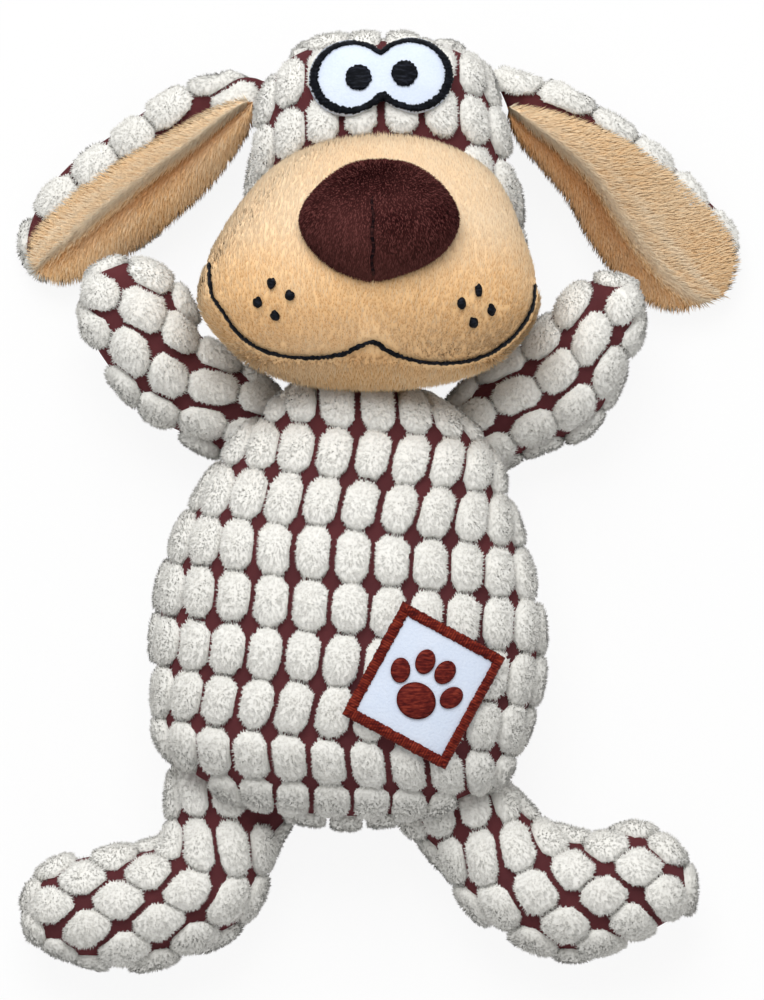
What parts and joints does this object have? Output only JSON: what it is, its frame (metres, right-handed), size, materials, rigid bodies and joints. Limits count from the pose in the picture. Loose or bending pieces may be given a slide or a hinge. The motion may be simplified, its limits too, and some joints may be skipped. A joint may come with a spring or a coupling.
{
  "type": "plush dog toy",
  "caption": "Stuffed dog-shaped pet toy of tufted fabric with a plush muzzle, floppy ears, sewn limbs and a squeaker in its body.",
  "frame": {"origin": "on the flat that the toy's back rests on, under the middle of the body", "axes": "+X to the right as seen from the front, +Y from the feet towards the head, +Z out of the toy's front"},
  "size_m": [0.2, 0.2604, 0.0939],
  "materials": {
    "tufted_fabric": "cream chenille tufts on a flat burgundy brown woven ground",
    "tan_plush": "short tan plush pile",
    "nose_plush": "short dark brown plush pile",
    "white_felt": "smooth white felt",
    "black_thread": "satin stitched black thread",
    "rust_thread": "satin stitched rust brown thread",
    "filling": "loose white fibre",
    "squeaker": "thin moulded plastic"
  },
  "bodies": {
    "torso": {"body_front_panel": "tufted_fabric", "body_back_panel": "tufted_fabric", "filling_front": "filling", "filling_back": "filling", "squeaker_bulb": "squeaker", "squeaker_reed": "squeaker", "belly_patch": "white_felt", "patch_border": "rust_thread", "paw_pad": "rust_thread", "paw_toe_1": "rust_thread", "paw_toe_2": "rust_thread", "paw_toe_3": "rust_thread", "paw_toe_4": "rust_thread"},
    "head": {"head": "tufted_fabric", "muzzle": "tan_plush", "nose": "nose_plush", "nose_seam": "nose_plush", "eye_patch": "white_felt", "eye_outline": "black_thread", "pupil_left": "black_thread", "pupil_right": "black_thread", "mouth_stitching": "black_thread", "whisker_dot_1": "black_thread", "whisker_dot_2": "black_thread", "whisker_dot_3": "black_thread", "whisker_dot_4": "black_thread", "whisker_dot_5": "black_thread", "whisker_dot_6": "black_thread", "whisker_dot_7": "black_thread", "whisker_dot_8": "black_thread"},
    "ear_left": {"ear_left_outer_panel": "tufted_fabric", "ear_left_inner_panel": "tan_plush"},
    "ear_right": {"ear_right_outer_panel": "tufted_fabric", "ear_right_inner_panel": "tan_plush"},
    "arm_left": {"arm_left": "tufted_fabric"},
    "arm_right": {"arm_right": "tufted_fabric"},
    "leg_left": {"leg_left": "tufted_fabric"},
    "leg_right": {"leg_right": "tufted_fabric"}
  },
  "joints": [
    {"name": "neck_tilt", "type": "hinge", "parent": "torso", "child": "head", "pos_m": [0.0016, 0.0591, 0], "axis": [0, 0, 1], "range_deg": [-8, 8], "stiffness_Nm_per_rad": 0.02},
    {"name": "ear_left_sweep", "type": "hinge", "parent": "head", "child": "ear_left", "pos_m": [-0.0242, 0.1455, 0], "axis": [0, 0, -1], "range_deg": [0, 35], "stiffness_Nm_per_rad": 0.0015},
    {"name": "ear_right_sweep", "type": "hinge", "parent": "head", "child": "ear_right", "pos_m": [0.0404, 0.1482, 0], "axis": [0, 0, 1], "range_deg": [0, 35], "stiffness_Nm_per_rad": 0.0015},
    {"name": "arm_left_swing", "type": "hinge", "parent": "torso", "child": "arm_left", "pos_m": [-0.0382, 0.0385, 0], "axis": [0, 0, 1], "range_deg": [0, 38], "stiffness_Nm_per_rad": 0.006},
    {"name": "arm_right_swing", "type": "hinge", "parent": "torso", "child": "arm_right", "pos_m": [0.0437, 0.0358, 0], "axis": [0, 0, -1], "range_deg": [0, 38], "stiffness_Nm_per_rad": 0.006},
    {"name": "leg_left_lift", "type": "hinge", "parent": "torso", "child": "leg_left", "pos_m": [-0.035, -0.051, 0.032], "axis": [-0.7193, 0.6947, 0], "range_deg": [0, 45], "stiffness_Nm_per_rad": 0.02},
    {"name": "leg_right_lift", "type": "hinge", "parent": "torso", "child": "leg_right", "pos_m": [0.031, -0.055, 0.032], "axis": [-0.5, -0.866, 0], "range_deg": [0, 45], "stiffness_Nm_per_rad": 0.02}
  ]
}
